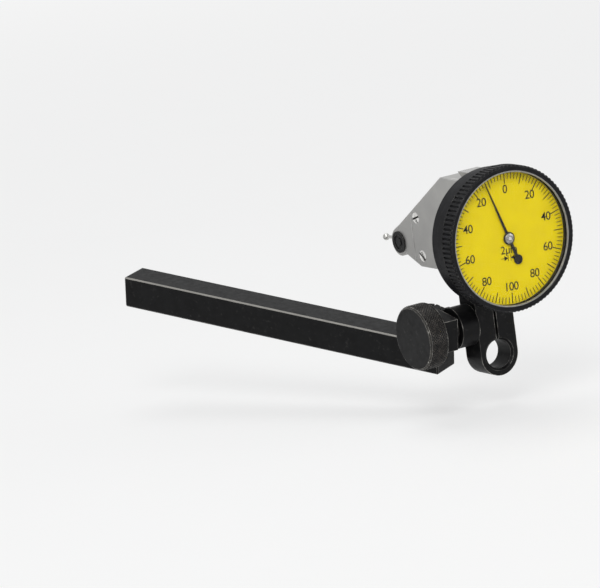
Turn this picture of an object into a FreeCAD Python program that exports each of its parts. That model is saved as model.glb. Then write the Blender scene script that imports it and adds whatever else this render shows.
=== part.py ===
import FreeCAD, Part
import math
import os
import re
import Sketcher
from FreeCAD import Placement, Rotation, Vector

# Dial test indicator on a jointed holder.
# Row frame: origin in the middle of the clamp's stem bore, +Y along that bore away
# from the dial, +Z up through the dial's centre, +X to the right facing the dial.

doc = FreeCAD.newDocument("indicator")
sheet = doc.addObject("Spreadsheet::Sheet", "Sizes")

drivingSizes = {
    # holding bar and its pivot
    "barSide": 9.0, "barLength": 105.0, "barEnd": 5.0, "barChamfer": 0.35, "barDrop": 5.0,
    "barPitch": 11.5, "barYaw": 24.8, "yawX": -12.8, "yawBack": 9.3,
    "pivotShank": 1.48, "pivotHole": 1.53, "pivotDepth": 13.0, "pivotHead": 3.0, "pivotHeadHeight": 1.2,
    "slotWidth": 0.6, "slotDepth": 0.6, "washerInner": 1.65, "washerOuter": 4.4, "washerThick": 0.44,
    # swivel link, clamp screw and knob
    "screwHeight": 9.4, "eyeRadius": 5.8, "eyeLeft": -12.0, "eyeLength": 5.5, "linkTop": 2.2,
    "linkUnder": 4.5, "earRadius": 4.9, "neckRadius": 3.6, "neckLength": 1.0, "collarSide": 9.0,
    "collarLength": 5.5, "screwRadius": 1.5, "screwHole": 1.55, "screwLeft": -23.6, "screwLength": 29.0,
    "knobLeft": -24.6, "knobRight": -18.6, "knobRadius": 9.1, "knobChamfer": 0.7,
    # clamp block
    "blockHalf": 6.0, "blockTop": 20.5, "blockDepth": 7.5, "boreRadius": 4.0, "boreChamfer": 0.6,
    "slitHalf": 0.4, "grooveMouth": 2.25, "grooveNeck": 19.95, "grooveFloor": 18.15, "grooveHalf": 3.3,
    # dovetail rails
    "railNeck": 2.2, "railHalf": 3.23, "railFlare": 1.75, "railTop": 23.0, "railFoot": 18.25,
    "railLength": 14.4, "railFront": -5.9, "upperRailHeight": 1.9, "upperRailLength": 6.5, "upperRailFront": -5.9,
    # indicator body
    "bodyHalf": 5.0, "coverThick": 1.0, "bodyFront": -6.0, "bodyFoot": 23.0, "footEnd": 22.8,
    "shoulderY": 7.4, "shoulderZ": 49.5, "tipY": 31.5, "tipZ": 34.2, "noseRadius": 4.0,
    "pivotY": 32.6, "pivotZ": 29.05, "jointLine": 25.0, "forkHalf": 2.1, "forkRoot": 28.4, "edgeBreak": 0.15,
    # dial end
    "dialZ": 33.6, "bezelRadius": 20.0, "bezelWaist": 19.45, "bezelFront": -17.5, "bezelBack": -9.8,
    "gripBack": -13.4, "bezelChamfer": 0.45, "gripCount": 96, "gripDepth": 0.42, "glassRadius": 18.45,
    "shelfY": -14.8, "spigotRadius": 17.2, "bezelBore": 17.26, "dialRadius": 18.3, "dialThick": 0.3,
    "sightRadius": 18.0, "gasketThick": 1.0, "glassThick": 0.9, "ringThick": 0.4,
    "caseFront": -13.6, "caseInner": 15.6, "caseFlange": 18.9, "caseFlangeFront": -9.7, "caseFloor": -7.6,
    # stylus
    "stylusLength": 15.0, "stylusTilt": -4.0, "ballRadius": 1.0, "shankRoot": 0.75, "shankTip": 0.42,
    "hubRadius": 3.0, "hubHalf": 1.2, "socketRadius": 1.1, "socketLength": 5.2,
    # movement
    "arborRadius": 0.5, "arborPivot": 0.3, "jewelBore": 0.33, "jewelRadius": 0.9, "plateThick": 0.6,
    "plateHalf": 3.4, "module": 0.15, "crownTeeth": 92, "pinionTeeth": 12, "sectorRatio": 12,
    "crownY": 7.0, "sectorArm": 2.4, "leverArm": 12.05,
    "handLength": 17.0, "handAngle": 18.7, "handHub": 1.75, "handThick": 0.2, "handY": -15.45,
    # small screws, caps, bushes and stones
    "smallScrew": 0.85, "smallScrewHole": 0.88, "smallHead": 1.65, "smallHeadSink": 1.7, "smallHeadHeight": 0.55,
    "pivotScrewRadius": 1.6, "pivotScrewHoleRadius": 1.62, "capRadius": 3.05, "capThick": 0.42,
    "capRecess": 0.25, "recessOuter": 2.1, "recessInner": 1.15,
    "leverShaft": 0.58, "leverBearing": 0.61, "frontBush": 1.5, "frontBushRadius": 1.52, "arborClear": 0.54,
    "jewelSmall": 0.8, "pillarBore": 0.8, "colletRadius": 0.97, "studRadius": 0.3, "hubBore": 0.63,
    "clutchThick": 0.42, "coverScrewLength": 3.4, "caseScrewLength": 3.1, "leverShaftLength": 8.0,
    "plateScrewHead": 1.09, "plateHeadHeight": 0.5, "bridgeThick": 1.0, "bridgeHeight": 2.6, "seatLength": 1.2,
    "frontBushLength": 1.5, "colletLength": 0.8, "studLength": 1.2, "bossHeight": 0.35, "threadLength": 1.6,
}

for rowNumber, (alias, number) in enumerate(drivingSizes.items(), start=1):
    sheet.set("A%d" % rowNumber, alias)
    sheet.set("B%d" % rowNumber, str(number))
    sheet.setAlias("B%d" % rowNumber, alias)
doc.recompute()

subParts = []


def val(name):
    """Read one size from the sheet, with an optional minus sign."""
    if name.startswith("-"):
        return -float(sheet.get(name[1:]))
    return float(sheet.get(name))


def formula(text):
    """Turn sheet names in a formula into references to the sheet."""
    return re.sub(r"[A-Za-z]\w*", r"Sizes.\g<0>", text)


def keep(thing, label):
    thing.Label = label
    subParts.append(thing)
    return thing


turnTo = {
    "X": Rotation(Vector(0, 1, 0), 90),
    "Y": Rotation(Vector(1, 0, 0), -90),
    "Z": Rotation(),
}


def rod(name, radius, length, start, axis, frame=None):
    thing = doc.addObject("Part::Cylinder", name)
    thing.setExpression("Radius", formula(radius))
    thing.setExpression("Height", formula(length))
    local = Placement(Vector(*start), turnTo[axis])
    thing.Placement = frame.multiply(local) if frame else local
    return thing


def block(name, sizesXYZ, corner, frame=None):
    thing = doc.addObject("Part::Box", name)
    for prop, text in zip(("Length", "Width", "Height"), sizesXYZ):
        thing.setExpression(prop, formula(text))
    local = Placement(Vector(*corner), Rotation())
    thing.Placement = frame.multiply(local) if frame else local
    return thing


def fuse(name, shapes):
    thing = doc.addObject("Part::MultiFuse", name)
    thing.Shapes = shapes
    return thing


def cut(name, base, tool):
    thing = doc.addObject("Part::Cut", name)
    thing.Base = base
    thing.Tool = tool
    return thing


def group(name, shapes):
    thing = doc.addObject("Part::Compound", name)
    thing.Links = shapes
    return thing


def ring(name, outer, inner, length, start, axis, frame=None):
    blank = rod(name + "Blank", outer, length, start, axis, frame)
    hole = rod(name + "Hole", inner, length, start, axis, frame)
    return cut(name, blank, hole)


def newBody(name, placement=None):
    body = doc.addObject("PartDesign::Body", name)
    if placement:
        body.Placement = placement
    return body


def newSketch(body, name, role, lift=0.0):
    sketch = body.newObject("Sketcher::SketchObject", name)
    plane = [item for item in body.Origin.OriginFeatures if item.Role == role][0]
    sketch.AttachmentSupport = [(plane, "")]
    sketch.MapMode = "FlatFace"
    sketch.AttachmentOffset = Placement(Vector(0, 0, lift), Rotation())
    return sketch


def plainOutline(sketch, spots):
    """Closed outline through points that are worked out from the sheet's values."""
    corners = [Vector(across, upward, 0) for across, upward in spots]
    for index, corner in enumerate(corners):
        sketch.addGeometry(Part.LineSegment(corner, corners[(index + 1) % len(corners)]), False)


def circle(sketch, centre, radius):
    index = sketch.addGeometry(Part.Circle(Vector(centre[0], centre[1], 0), Vector(0, 0, 1), val(radius)), False)
    number = sketch.addConstraint(Sketcher.Constraint("Radius", index, val(radius)))
    sketch.setExpression("Constraints[%d]" % number, "Sizes." + radius)


def pad(body, sketch, length, midplane=False, backwards=False):
    feature = body.newObject("PartDesign::Pad", sketch.Name + "Pad")
    feature.Profile = sketch
    feature.setExpression("Length", formula(length))
    feature.Midplane = midplane
    feature.Reversed = backwards
    sketch.Visibility = False
    doc.recompute()
    return feature


def pocket(body, sketch, length, midplane=False, backwards=False):
    before = body.Shape.Volume
    feature = body.newObject("PartDesign::Pocket", sketch.Name + "Pocket")
    feature.Profile = sketch
    feature.setExpression("Length", formula(length))
    feature.Midplane = midplane
    feature.Reversed = backwards
    doc.recompute()
    if body.Shape.Volume > before - 0.001:
        raise RuntimeError(sketch.Name + " cuts nothing")
    return feature


def revolve(body, sketch, edge):
    feature = body.newObject("PartDesign::Revolution", sketch.Name + "Turn")
    feature.Profile = sketch
    feature.ReferenceAxis = (sketch, [edge])
    feature.Angle = 360
    doc.recompute()
    return feature


def edgesWhere(shape, test):
    return ["Edge%d" % (index + 1) for index, edge in enumerate(shape.Edges) if test(edge)]


# Frames of the holder: the link tips back with the bar, and the bar turns under it.
screwCentre = Vector(0, 0, val("screwHeight"))
linkFrame = Placement(screwCentre, Rotation(Vector(1, 0, 0), val("barPitch")))
pivotSpot = Vector(val("yawX"), val("yawBack"), 0)
barTop = Vector(val("yawX"), val("yawBack"), -val("barDrop"))
barFrame = linkFrame.multiply(Placement(barTop, Rotation(Vector(0, 0, 1), val("barYaw"))))
pivotFrame = linkFrame.multiply(Placement(pivotSpot, Rotation(Vector(0, 0, 1), val("barYaw"))))


def makeBar():
    body = newBody("HoldingBar", barFrame)
    sketch = newSketch(body, "barSection", "XZ_Plane")
    half = val("barSide") / 2
    plainOutline(sketch, [(-half, -2 * half), (half, -2 * half), (half, 0), (-half, 0)])
    for number, (first, second) in enumerate(((0, 1), (1, 2), (2, 3), (3, 0))):
        sketch.addConstraint(Sketcher.Constraint("Coincident", first, 2, second, 1))
    sketch.addConstraint(Sketcher.Constraint("Horizontal", 0))
    sketch.addConstraint(Sketcher.Constraint("Vertical", 1))
    sketch.addConstraint(Sketcher.Constraint("Horizontal", 2))
    sketch.addConstraint(Sketcher.Constraint("Vertical", 3))
    sketch.addConstraint(Sketcher.Constraint("Symmetric", 2, 1, 2, 2, -1, 1))
    width = sketch.addConstraint(Sketcher.Constraint("DistanceX", 0, 1, 0, 2, 2 * half))
    height = sketch.addConstraint(Sketcher.Constraint("DistanceY", 1, 1, 1, 2, 2 * half))
    sketch.setExpression("Constraints[%d]" % width, "Sizes.barSide")
    sketch.setExpression("Constraints[%d]" % height, "Sizes.barSide")
    sketch.AttachmentOffset = Placement(Vector(0, 0, val("barEnd")), Rotation())
    bar = pad(body, sketch, "barLength", backwards=True)
    chamfer = body.newObject("PartDesign::Chamfer", "barEdges")
    longEdges = edgesWhere(bar.Shape, lambda edge: edge.Length > 0.5 * val("barSide"))
    chamfer.Base = (bar, longEdges)
    chamfer.setExpression("Size", "Sizes.barChamfer")
    doc.recompute()
    hole = newSketch(body, "barPivotHole", "XY_Plane")
    circle(hole, (0, 0), "pivotHole")
    pocket(body, hole, "pivotDepth - barDrop")
    keep(body, "holding_bar")


def makeYawPivot():
    top = val("linkTop") + 0.02
    head = rod("pivotHeadBlank", "pivotHead", "pivotHeadHeight", (0, 0, top), "Z", pivotFrame)
    shankBottom = -(val("pivotDepth") - 0.4)
    shank = doc.addObject("Part::Cylinder", "pivotShankRod")
    shank.setExpression("Radius", "Sizes.pivotShank")
    shank.setExpression("Height", "Sizes.pivotDepth + Sizes.linkTop - 0.3")
    shank.Placement = pivotFrame.multiply(Placement(Vector(0, 0, shankBottom), Rotation()))
    slotCorner = (-val("pivotHead"), -val("slotWidth") / 2, top + val("pivotHeadHeight") - val("slotDepth"))
    slot = block("pivotSlot", ("2 * pivotHead", "slotWidth", "slotDepth"), slotCorner, pivotFrame)
    keep(cut("YawPivotScrew", fuse("pivotWhole", [head, shank]), slot), "yaw_pivot_screw")
    start = (0, 0, -val("linkUnder") - 0.02 - val("washerThick"))
    keep(ring("YawWasher", "washerOuter", "washerInner", "washerThick", start, "Z", pivotFrame), "yaw_washer")


def makeLink():
    left = val("eyeLeft")
    eye = rod("linkEye", "eyeRadius", "eyeLength", (left, 0, 0), "X", linkFrame)
    arm = block("linkArm", ("eyeLength", "yawBack", "linkTop + linkUnder"), (left, 0, -val("linkUnder")), linkFrame)
    earStart = (pivotSpot.x, pivotSpot.y, -val("linkUnder"))
    ear = rod("linkEar", "earRadius", "linkTop + linkUnder", earStart, "Z", linkFrame)
    neckStart = (left - val("neckLength"), 0, 0)
    neck = rod("linkNeck", "neckRadius", "neckLength", neckStart, "X", linkFrame)
    half = val("collarSide") / 2
    collarCorner = (left - val("neckLength") - val("collarLength"), -half, -half)
    collar = block("linkCollar", ("collarLength", "collarSide", "collarSide"), collarCorner, linkFrame)
    whole = fuse("linkWhole", [eye, arm, ear, neck, collar])
    bore = rod("linkBore", "screwHole", "collarLength + neckLength + eyeLength", (collarCorner[0], 0, 0), "X", linkFrame)
    eyeHole = rod("linkPivotHole", "pivotHole", "linkTop + linkUnder", earStart, "Z", linkFrame)
    keep(cut("SwivelLink", whole, fuse("linkHoles", [bore, eyeHole])), "swivel_link")
    washerStart = (left + val("eyeLength") + 0.03, 0, 0)
    keep(ring("SwivelWasher", "washerOuter", "washerInner", "washerThick", washerStart, "X", linkFrame), "swivel_washer")


def makeKnob():
    body = newBody("KnurledKnob", Placement(screwCentre, Rotation()))
    sketch = newSketch(body, "knobSection", "XY_Plane")
    left, right = val("knobLeft"), val("knobRight")
    radius, chamfer = val("knobRadius"), val("knobChamfer")
    bore = val("screwRadius")
    section = [(left, 0), (left, radius - chamfer), (left + chamfer, radius), (right - chamfer, radius),
               (right, radius - chamfer), (right, bore), (val("screwLeft"), bore), (val("screwLeft"), 0)]
    plainOutline(sketch, section)
    revolve(body, sketch, "H_Axis")
    keep(body, "knurled_knob")
    start = (val("screwLeft"), 0, val("screwHeight"))
    keep(rod("ClampScrew", "screwRadius", "screwLength", start, "X"), "clamp_screw")


def makeClampBlock():
    body = newBody("ClampBlock")
    sketch = newSketch(body, "blockOutline", "XZ_Plane")
    half, top, slit = val("blockHalf"), val("blockTop"), val("slitHalf")
    mouth, neck, floor, wide = val("grooveMouth"), val("grooveNeck"), val("grooveFloor"), val("grooveHalf")
    bore = val("boreRadius")
    slitFoot = math.sqrt(bore * bore - slit * slit)
    rightSide = [(half, 0), (half, top), (mouth, top), (mouth, neck), (wide, floor), (slit, floor), (slit, slitFoot)]
    leftSide = [(-across, upward) for across, upward in reversed(rightSide)]
    for side in (rightSide, leftSide):
        for start, end in zip(side, side[1:]):
            sketch.addGeometry(Part.LineSegment(Vector(*start, 0), Vector(*end, 0)), False)
    boreArc = Part.Arc(Vector(slit, slitFoot, 0), Vector(0, -bore, 0), Vector(-slit, slitFoot, 0))
    footArc = Part.Arc(Vector(-half, 0, 0), Vector(0, -half, 0), Vector(half, 0, 0))
    sketch.addGeometry(boreArc, False)
    sketch.addGeometry(footArc, False)
    blockPad = pad(body, sketch, "blockDepth", midplane=True)
    rims = edgesWhere(blockPad.Shape, lambda edge: hasattr(edge.Curve, "Radius") and abs(edge.Curve.Radius - bore) < 0.01)
    chamfer = body.newObject("PartDesign::Chamfer", "boreRims")
    chamfer.Base = (blockPad, rims)
    chamfer.setExpression("Size", "Sizes.boreChamfer")
    doc.recompute()
    cross = newSketch(body, "clampScrewHole", "YZ_Plane")
    circle(cross, (0, val("screwHeight")), "screwHole")
    pocket(body, cross, "3 * blockHalf", midplane=True)
    keep(body, "clamp_block")


def railSection(body, name, root, foot, direction):
    """Dovetail section in the XZ plane; it widens from its neck to its foot."""
    sketch = newSketch(body, name, "XZ_Plane")
    neck, wide, flare = val("railNeck"), val("railHalf"), val("railFlare")
    bend = foot + direction * flare
    plainOutline(sketch, [(-neck, root), (-neck, bend), (-wide, foot), (wide, foot), (neck, bend), (neck, root)])
    return sketch


def makeRails():
    lower = newBody("LowerDovetail", Placement(Vector(0, val("railFront"), 0), Rotation()))
    sketch = railSection(lower, "lowerRailSection", val("railTop"), val("railFoot"), 1)
    pad(lower, sketch, "railLength", backwards=True)
    keep(lower, "lower_dovetail")
    upper = newBody("UpperDovetail", Placement(Vector(0, val("upperRailFront"), 0), Rotation()))
    top = val("shoulderZ") + val("upperRailHeight")
    sketch = railSection(upper, "upperRailSection", val("shoulderZ"), top, -1)
    pad(upper, sketch, "upperRailLength", backwards=True)
    keep(upper, "upper_dovetail")


def bodyOutline(sketch, front, endY=None):
    """Side outline of the indicator: flat foot, round nose and sloping back."""
    foot, pivotY, pivotZ, nose = val("bodyFoot"), val("pivotY"), val("pivotZ"), val("noseRadius")
    slope = (val("tipZ") - val("shoulderZ")) / (val("tipY") - val("shoulderY"))
    if endY is not None:
        endZ = val("shoulderZ") + slope * (endY - val("shoulderY"))
        footY = val("footEnd")
        footSlope = 0.42
        plainOutline(sketch, [(front, foot), (footY, foot), (endY, foot + footSlope * (endY - footY)),
                              (endY, endZ), (val("shoulderY"), val("shoulderZ")), (front, val("shoulderZ"))])
        return
    low = math.radians(-130)
    high = math.radians(62)
    lowSpot = Vector(pivotY + nose * math.cos(low), pivotZ + nose * math.sin(low), 0)
    highSpot = Vector(pivotY + nose * math.cos(high), pivotZ + nose * math.sin(high), 0)
    spots = [highSpot, Vector(val("tipY"), val("tipZ"), 0), Vector(val("shoulderY"), val("shoulderZ"), 0),
             Vector(front, val("shoulderZ"), 0), Vector(front, foot, 0), Vector(val("footEnd"), foot, 0), lowSpot]
    for start, end in zip(spots, spots[1:]):
        sketch.addGeometry(Part.LineSegment(start, end), False)
    sketch.addGeometry(Part.Arc(lowSpot, Vector(pivotY + nose, pivotZ, 0), highSpot), False)


def breakEdges(body, base, name):
    """Small bevel round the outer faces at the body's full width."""
    face = val("bodyHalf")
    onFace = edgesWhere(base.Shape, lambda edge: all(abs(abs(spot.Point.x) - face) < 0.02 for spot in edge.Vertexes))
    sameSide = [name for name in onFace if base.Shape.getElement(name).BoundBox.XLength < 0.01]
    bevel = body.newObject("PartDesign::Chamfer", name)
    bevel.Base = (base, sameSide)
    bevel.setExpression("Size", "Sizes.edgeBreak")
    doc.recompute()


coverScrewSpots = ((22.6, 36.8), (21.4, 26.1))


def makeFrame():
    body = newBody("BodyFrame")
    sketch = newSketch(body, "frameOutline", "YZ_Plane")
    bodyOutline(sketch, val("bodyFront"))
    blank = pad(body, sketch, "2 * bodyHalf", midplane=True)
    breakEdges(body, blank, "frameEdges")
    coverSeat = val("bodyHalf") - val("coverThick")
    for side, name in ((1, "rightSeat"), (-1, "leftSeat")):
        seat = newSketch(body, name, "YZ_Plane", side * coverSeat)
        plainOutline(seat, [(-10, 20), (val("jointLine"), 20), (val("jointLine"), 55), (-10, 55)])
        pocket(body, seat, "2 * coverThick", backwards=(side == 1))
    cavity = newSketch(body, "frameCavity", "YZ_Plane")
    plainOutline(cavity, [(-4.4, 24.6), (18.6, 24.6), (18.6, 27.4), (27.0, 27.4), (27.0, 33.4),
                          (18.6, 33.4), (18.6, 39.8), (7.0, 47.2), (-4.4, 47.2)])
    pocket(body, cavity, "2 * bodyHalf - 2 * coverThick", midplane=True)
    fork = newSketch(body, "forkSlot", "XY_Plane")
    half = val("forkHalf")
    plainOutline(fork, [(-half, val("forkRoot")), (half, val("forkRoot")), (half, 40), (-half, 40)])
    pocket(body, fork, "20 * noseRadius", midplane=True)
    throat = newSketch(body, "forkThroat", "XZ_Plane", -26.0)
    plainOutline(throat, [(-half, 27.0), (half, 27.0), (half, 33.2), (-half, 33.2)])
    pocket(body, throat, "noseRadius", backwards=False)
    axle = newSketch(body, "pivotScrewHole", "YZ_Plane")
    circle(axle, (val("pivotY"), val("pivotZ")), "pivotScrewHoleRadius")
    pocket(body, axle, "4 * bodyHalf", midplane=True)
    arborHole = newSketch(body, "arborHole", "XZ_Plane", 3.0)
    circle(arborHole, (0, val("dialZ")), "frontBushRadius")
    pocket(body, arborHole, "2 * noseRadius", backwards=True)
    screwHoles = newSketch(body, "coverScrewHoles", "YZ_Plane")
    for spot in coverScrewSpots:
        circle(screwHoles, spot, "smallScrewHole")
    pocket(body, screwHoles, "4 * bodyHalf", midplane=True)
    caseHoles = newSketch(body, "caseScrewHoles", "XZ_Plane", 3.0)
    for height in caseScrewHeights:
        circle(caseHoles, (0, height), "smallScrewHole")
    pocket(body, caseHoles, "2 * noseRadius", backwards=True)
    keep(body, "body_frame")


def makeCovers():
    seat = val("bodyHalf") - val("coverThick")
    for side, label in ((-1, "left_cover"), (1, "right_cover")):
        body = newBody(label.title().replace("_", ""))
        sketch = newSketch(body, label + "Outline", "YZ_Plane", side * (seat + 0.01))
        bodyOutline(sketch, val("bodyFront"), val("jointLine") - 0.06)
        blank = pad(body, sketch, "coverThick - 0.01", backwards=(side == -1))
        breakEdges(body, blank, label + "Edges")
        holes = newSketch(body, label + "Holes", "YZ_Plane")
        for spot in coverScrewSpots:
            circle(holes, spot, "smallScrewHole")
        pocket(body, holes, "4 * bodyHalf", midplane=True)
        sinks = newSketch(body, label + "Sinks", "YZ_Plane", side * val("bodyHalf"))
        for spot in coverScrewSpots:
            circle(sinks, spot, "smallHeadSink")
        pocket(body, sinks, "smallHeadHeight", backwards=(side == -1))
        keep(body, label)
        screws = []
        for number, (spotY, spotZ) in enumerate(coverScrewSpots):
            name = label + "Screw%d" % number
            headBottom = val("bodyHalf") - val("smallHeadHeight")
            headStart = headBottom if side == 1 else -headBottom - val("smallHeadHeight")
            head = rod(name + "Head", "smallHead", "smallHeadHeight", (headStart, spotY, spotZ), "X")
            shankStart = headBottom - val("coverScrewLength") if side == 1 else -headBottom
            shank = rod(name + "Shank", "smallScrew", "coverScrewLength", (shankStart, spotY, spotZ), "X")
            slotX = side * (val("bodyHalf") - 0.3) - (0.0 if side == 1 else 0.3)
            slot = block(name + "Slot", ("slotWidth / 2", "2 * smallHead", "slotWidth * 0.8"),
                         (slotX, spotY - val("smallHead"), spotZ - 0.24))
            screws.append(cut(name, fuse(name + "Whole", [head, shank]), slot))
        keep(group(label.title() + "Screws", screws), label + "_screws")


def makePivotScrews():
    for side, label in ((-1, "left_pivot_screw"), (1, "right_pivot_screw")):
        name = label.title().replace("_", "")
        face = val("bodyHalf")
        capStart = face if side == 1 else -face - val("capThick")
        cap = rod(name + "Cap", "capRadius", "capThick", (capStart, val("pivotY"), val("pivotZ")), "X")
        length = face - val("forkHalf")
        shankStart = val("forkHalf") if side == 1 else -face
        shank = rod(name + "Shank", "pivotScrewRadius", "bodyHalf - forkHalf", (shankStart, val("pivotY"), val("pivotZ")), "X")
        holeStart = val("forkHalf") if side == 1 else -val("forkHalf") - 2.1
        hole = rod(name + "Bearing", "leverBearing", "forkHalf", (holeStart, val("pivotY"), val("pivotZ")), "X")
        recessStart = side * (face + val("capThick")) - (val("capRecess") if side == 1 else 0)
        recess = ring(name + "Recess", "recessOuter", "recessInner", "capRecess",
                      (recessStart, val("pivotY"), val("pivotZ")), "X")
        keep(cut(name, fuse(name + "Whole", [cap, shank]), fuse(name + "Cuts", [hole, recess])), label)


def turned(name, label, section, height):
    """Ring or cup turned about the dial's axis; a section point is (radius, y)."""
    body = newBody(name, Placement(Vector(0, 0, height), Rotation()))
    sketch = newSketch(body, name + "Section", "XY_Plane")
    plainOutline(sketch, section)
    revolve(body, sketch, "V_Axis")
    if label:
        keep(body, label)
    return body


caseScrewHeights = (26.6, 45.4)


def makeDialEnd():
    axis = val("dialZ")
    spigot, inner, flange = val("spigotRadius"), val("caseInner"), val("caseFlange")
    front, floor, back = val("caseFront"), val("caseFloor"), val("bodyFront")
    grooveFront, grooveBack, grooveRadius = -12.5, -11.9, 16.75
    section = [(1.55, back), (flange - 0.8, back), (flange, back - 0.8), (flange, val("caseFlangeFront")),
               (spigot, val("caseFlangeFront")), (spigot, grooveBack), (grooveRadius, grooveBack),
               (grooveRadius, grooveFront), (spigot, grooveFront), (spigot, front), (inner, front),
               (inner, floor), (1.55, floor)]
    case = turned("DialCase", None, section, axis)
    holes = newSketch(case, "caseHoles", "XZ_Plane", 3.0)
    for height in caseScrewHeights:
        circle(holes, (0, height - axis), "smallScrewHole")
    pocket(case, holes, "2 * noseRadius", backwards=True)
    keep(case, "dial_case")
    ringFront = grooveFront + 0.06
    snapRing = [(16.8, ringFront), (17.75, ringFront), (17.75, grooveBack - 0.06), (16.8, grooveBack - 0.06)]
    turned("SnapRing", "bezel_snap_ring", snapRing, axis)

    out, waist, bore = val("bezelRadius"), val("bezelWaist"), val("bezelBore")
    bFront, bBack, grip = val("bezelFront"), val("bezelBack"), val("gripBack")
    chamfer, glass, shelf = val("bezelChamfer"), val("glassRadius") + 0.02, val("shelfY")
    section = [(glass, shelf), (glass, bFront + 0.1), (glass + 0.1, bFront), (out - chamfer, bFront),
               (out, bFront + chamfer), (out, grip), (waist - 0.25, grip + 0.35), (waist - 0.25, grip + 0.7),
               (waist, grip + 0.95), (waist, bBack - 0.3), (waist - 0.3, bBack), (bore, bBack),
               (bore, grooveBack), (17.8, grooveBack), (17.8, grooveFront), (bore, grooveFront), (bore, shelf)]
    bezel = turned("Bezel", None, section, axis)
    groove = newSketch(bezel, "gripGroove", "XZ_Plane", -bFront + 1.0)
    pitch = 2 * math.pi * out / val("gripCount")
    depth = val("gripDepth")
    plainOutline(groove, [(-pitch / 2, out + depth / 2), (0, out - depth), (pitch / 2, out + depth / 2)])
    cutter = pocket(bezel, groove, "1.0 - bezelFront + gripBack", backwards=False)
    pattern = bezel.newObject("PartDesign::PolarPattern", "gripPattern")
    pattern.Originals = [cutter]
    pattern.Axis = (groove, ["N_Axis"])
    pattern.Angle = 360
    pattern.setExpression("Occurrences", "Sizes.gripCount")
    bezel.Tip = pattern
    doc.recompute()
    keep(bezel, "bezel")

    dialFace = shelf - val("dialThick")
    turned("DialPlate", "dial_plate", [(1.3, shelf), (val("dialRadius"), shelf), (val("dialRadius"), dialFace),
                                       (1.3, dialFace)], axis)
    gasketFront = dialFace - val("gasketThick")
    sight, outer = val("sightRadius"), val("glassRadius")
    turned("CrystalGasket", "crystal_gasket", [(sight, dialFace), (outer, dialFace), (outer, gasketFront),
                                               (sight, gasketFront)], axis)
    glassFront = gasketFront - val("glassThick")
    turned("Crystal", "crystal", [(0, gasketFront), (outer, gasketFront), (outer, glassFront), (0, glassFront)], axis)
    ringFront = glassFront - val("ringThick") + 0.1
    turned("RetainingRing", "retaining_ring", [(sight, glassFront), (outer, glassFront), (outer, ringFront),
                                               (sight + 0.15, ringFront)], axis)
    screws = []
    for number, height in enumerate(caseScrewHeights):
        name = "caseScrew%d" % number
        head = rod(name + "Head", "smallHead", "smallHeadHeight", (0, floor - val("smallHeadHeight"), height), "Y")
        shank = rod(name + "Shank", "smallScrew", "caseScrewLength", (0, floor, height), "Y")
        screws.append(fuse(name, [head, shank]))
    keep(group("CaseScrews", screws), "case_screws")


def gearSpots(teeth, pitchRadius, module, centre, turn, firstTooth, lastTooth):
    """Outline points of trapezoid teeth; tooth 0 is centred on the angle turn."""
    spots = []
    step = 2 * math.pi / teeth
    tip, root = pitchRadius + 0.9 * module, pitchRadius - 1.15 * module
    for tooth in range(firstTooth, lastTooth):
        middle = turn + tooth * step
        for share, radius in ((-0.33, root), (-0.12, tip), (0.12, tip), (0.33, root)):
            angle = middle + share * step
            spots.append((centre[0] + radius * math.cos(angle), centre[1] + radius * math.sin(angle)))
    return spots


def plateShape(spots, start, thickness, axis):
    """Flat plate with the given outline; spots are (y, z) for axis X and (x, z) for axis Y."""
    if axis == "X":
        corners = [Vector(start, first, second) for first, second in spots]
        push = Vector(thickness, 0, 0)
    else:
        corners = [Vector(first, start, second) for first, second in spots]
        push = Vector(0, thickness, 0)
    face = Part.Face(Part.makePolygon(corners + corners[:1]))
    return face.extrude(push)


def solidRod(radius, length, start, axis):
    directions = {"X": Vector(1, 0, 0), "Y": Vector(0, 1, 0), "Z": Vector(0, 0, 1)}
    return Part.makeCylinder(radius, length, Vector(*start), directions[axis])


def feature(name, label, shape):
    thing = doc.addObject("Part::Feature", name)
    thing.Shape = shape.removeSplitter()
    return keep(thing, label)


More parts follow.
